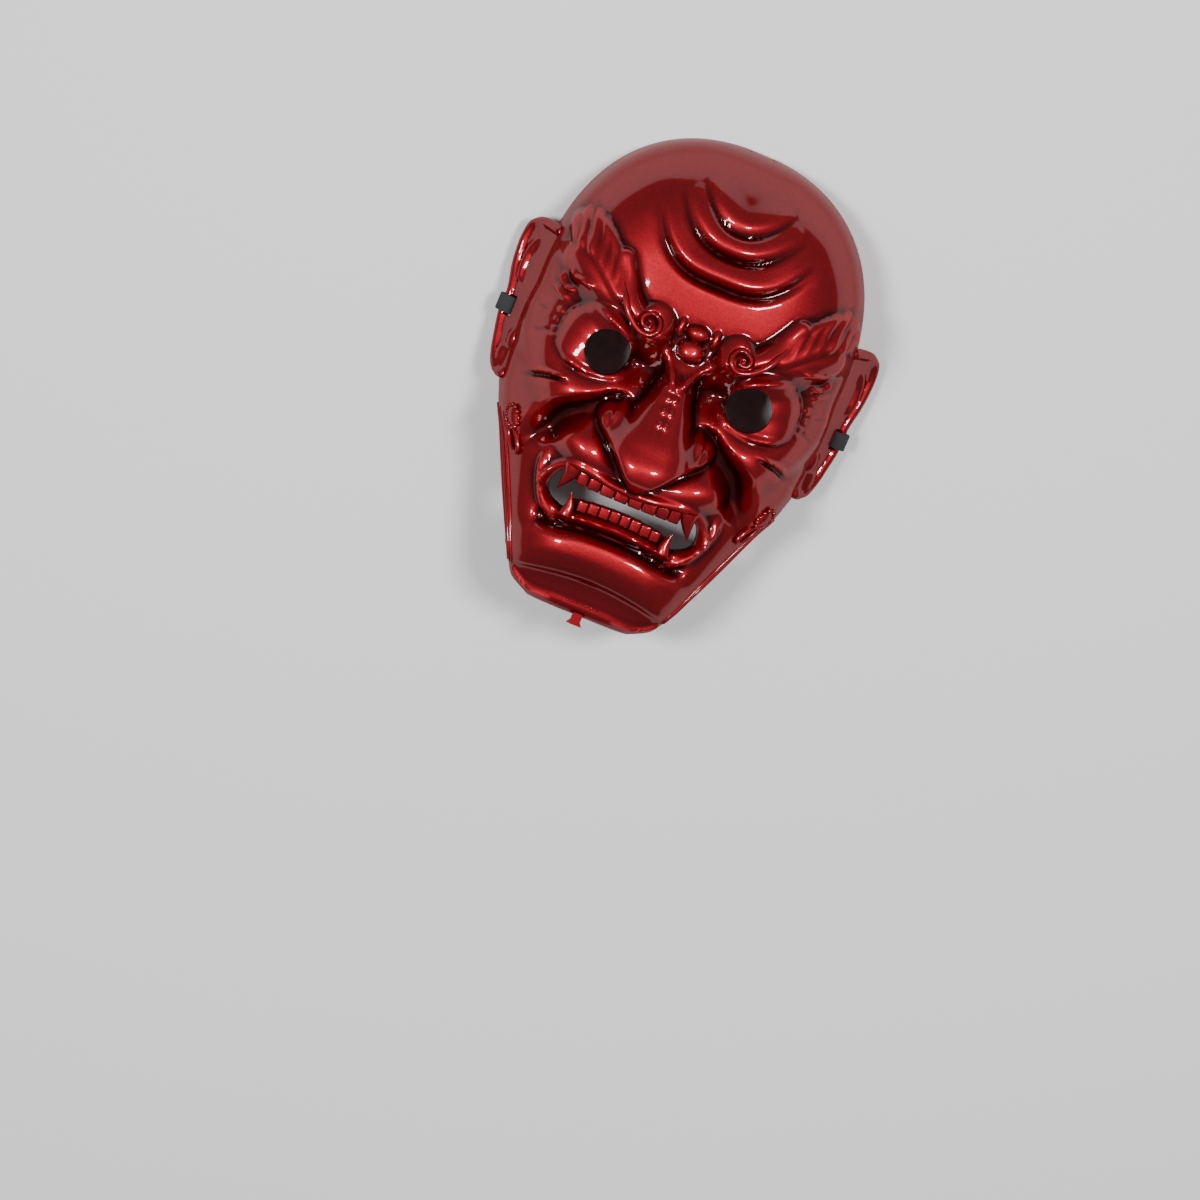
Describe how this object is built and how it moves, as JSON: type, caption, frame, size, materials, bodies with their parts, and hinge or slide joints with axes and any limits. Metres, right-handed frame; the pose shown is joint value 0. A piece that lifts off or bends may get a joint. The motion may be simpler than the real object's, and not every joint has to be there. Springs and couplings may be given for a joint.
{
  "type": "oni face mask",
  "caption": "Glossy moulded demon face mask, open at the back, with pierced eyes and mouth, flared ears and an elastic head strap.",
  "frame": {"origin": "on the surface that the mask lies on, below the middle of the mask's box", "axes": "+X to the viewer's right, +Y up the face towards the forehead, +Z out of the face"},
  "size_m": [0.179, 0.232, 0.1006],
  "materials": {
    "lacquer": "metallic red under gloss lacquer",
    "elastic": "woven matt"
  },
  "bodies": {
    "root": {"mask": "lacquer", "strap_loop_right": "elastic", "strap_loop_left": "elastic", "head_strap": "elastic"}
  },
  "joints": []
}
